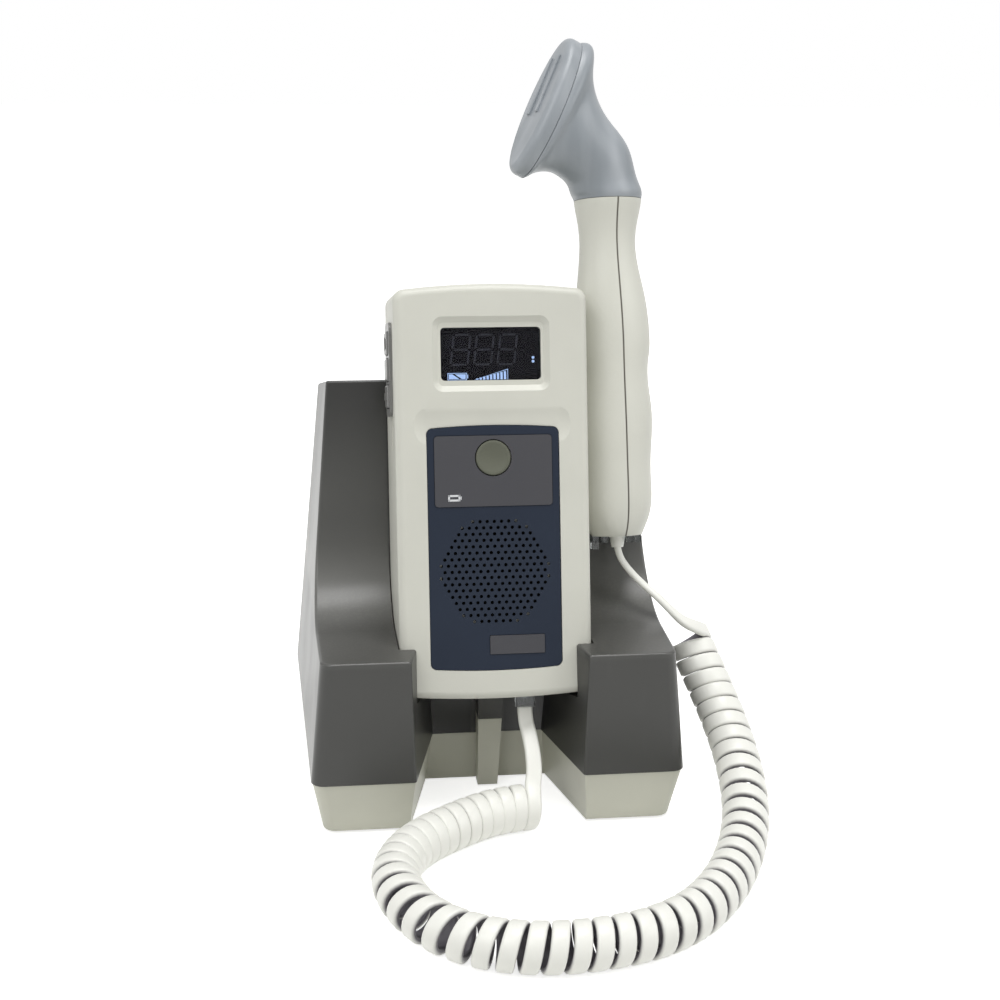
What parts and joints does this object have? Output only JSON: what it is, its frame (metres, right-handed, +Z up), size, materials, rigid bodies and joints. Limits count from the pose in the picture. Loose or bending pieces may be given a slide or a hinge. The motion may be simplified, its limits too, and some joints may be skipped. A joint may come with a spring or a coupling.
{
  "type": "vascular doppler",
  "caption": "Handheld vascular doppler unit and angled probe resting on a leaning charging stand, joined by a curly cord.",
  "frame": {"origin": "on the table under the middle of the stand", "axes": "+Z up, +Y to the back, +X to the right as seen from the display's side"},
  "size_m": [0.1807, 0.2507, 0.2975],
  "materials": {
    "cover_plastic": "gloss",
    "beige_plastic": "satin",
    "tray_plastic": "satin",
    "foot_rubber": "matte",
    "steel": "satin",
    "board_green": "satin",
    "gold_contact": "polished",
    "clear_plastic": "clear",
    "window_plastic": "gloss",
    "display_black": "satin",
    "navy_plastic": "satin",
    "plate_grey": "satin",
    "button_rubber": "matte",
    "key_rubber": "matte",
    "speaker_metal": "satin",
    "speaker_paper": "matte",
    "magnet_metal": "matte",
    "cell_wrap": "gloss",
    "head_plastic": "satin",
    "crystal": "matte",
    "cord_jacket": "satin"
  },
  "bodies": {
    "stand": {"stand_cover": "cover_plastic", "stand_tray": "tray_plastic", "stand_feet": "foot_rubber", "stand_screws": "steel", "charge_board": "board_green", "power_inlet": "display_black", "contact_block": "display_black", "probe_bracket": "clear_plastic", "bracket_screws": "steel", "cord_curls": "cord_jacket"},
    "contact_pins": {"charge_pins": "gold_contact"},
    "unit": {"unit_front_shell": "beige_plastic", "unit_back_shell": "beige_plastic", "battery_door": "beige_plastic", "display_window": "window_plastic", "display_module": "display_black", "grille_panel": "navy_plastic", "label_plate": "plate_grey", "model_plate": "plate_grey", "button_switch": "display_black", "main_board": "board_green", "speaker_frame": "speaker_metal", "speaker_cone": "speaker_paper", "speaker_magnet": "magnet_metal", "battery_cells": "cell_wrap", "cell_tray": "display_black", "cell_contacts": "steel", "key_frame": "key_rubber", "key_switches": "display_black", "key_board": "board_green", "modular_jack": "display_black", "cord_plug": "clear_plastic", "plug_contacts": "gold_contact", "charge_pads": "gold_contact", "unit_screws": "steel", "unit_lead": "cord_jacket"},
    "button": {"front_button": "button_rubber"},
    "upper_key": {"key_top": "key_rubber"},
    "centre_key": {"key_middle": "key_rubber"},
    "lower_key": {"key_bottom": "key_rubber"},
    "probe": {"probe_front_half": "beige_plastic", "probe_back_half": "beige_plastic", "probe_screws": "steel", "probe_head": "head_plastic", "probe_face": "head_plastic", "transducer_crystals": "crystal", "backing_block": "display_black", "probe_board": "board_green", "strain_relief": "cord_jacket", "cable_clamp": "steel", "probe_lead": "cord_jacket"}
  },
  "joints": [
    {"name": "unit_lift", "type": "slide", "parent": "stand", "child": "unit", "axis": [0, 0.2588, 0.9659], "range_m": [0, 0.04], "deforming": ["unit_lead"]},
    {"name": "probe_lift", "type": "slide", "parent": "stand", "child": "probe", "axis": [0, 0.2588, 0.9659], "range_m": [0, 0.06], "deforming": ["probe_lead"]},
    {"name": "contact_press", "type": "slide", "parent": "stand", "child": "contact_pins", "axis": [0, -0.2588, -0.9659], "range_m": [0, 0.001], "stiffness_N_per_m": 400},
    {"name": "button_press", "type": "slide", "parent": "unit", "child": "button", "axis": [0, 0.9659, -0.2588], "range_m": [0, 0.0008], "stiffness_N_per_m": 600},
    {"name": "upper_key_press", "type": "slide", "parent": "unit", "child": "upper_key", "axis": [1, 0, 0], "range_m": [0, 0.0007], "stiffness_N_per_m": 600},
    {"name": "centre_key_press", "type": "slide", "parent": "unit", "child": "centre_key", "axis": [1, 0, 0], "range_m": [0, 0.0007], "stiffness_N_per_m": 600},
    {"name": "lower_key_press", "type": "slide", "parent": "unit", "child": "lower_key", "axis": [1, 0, 0], "range_m": [0, 0.0007], "stiffness_N_per_m": 600}
  ]
}
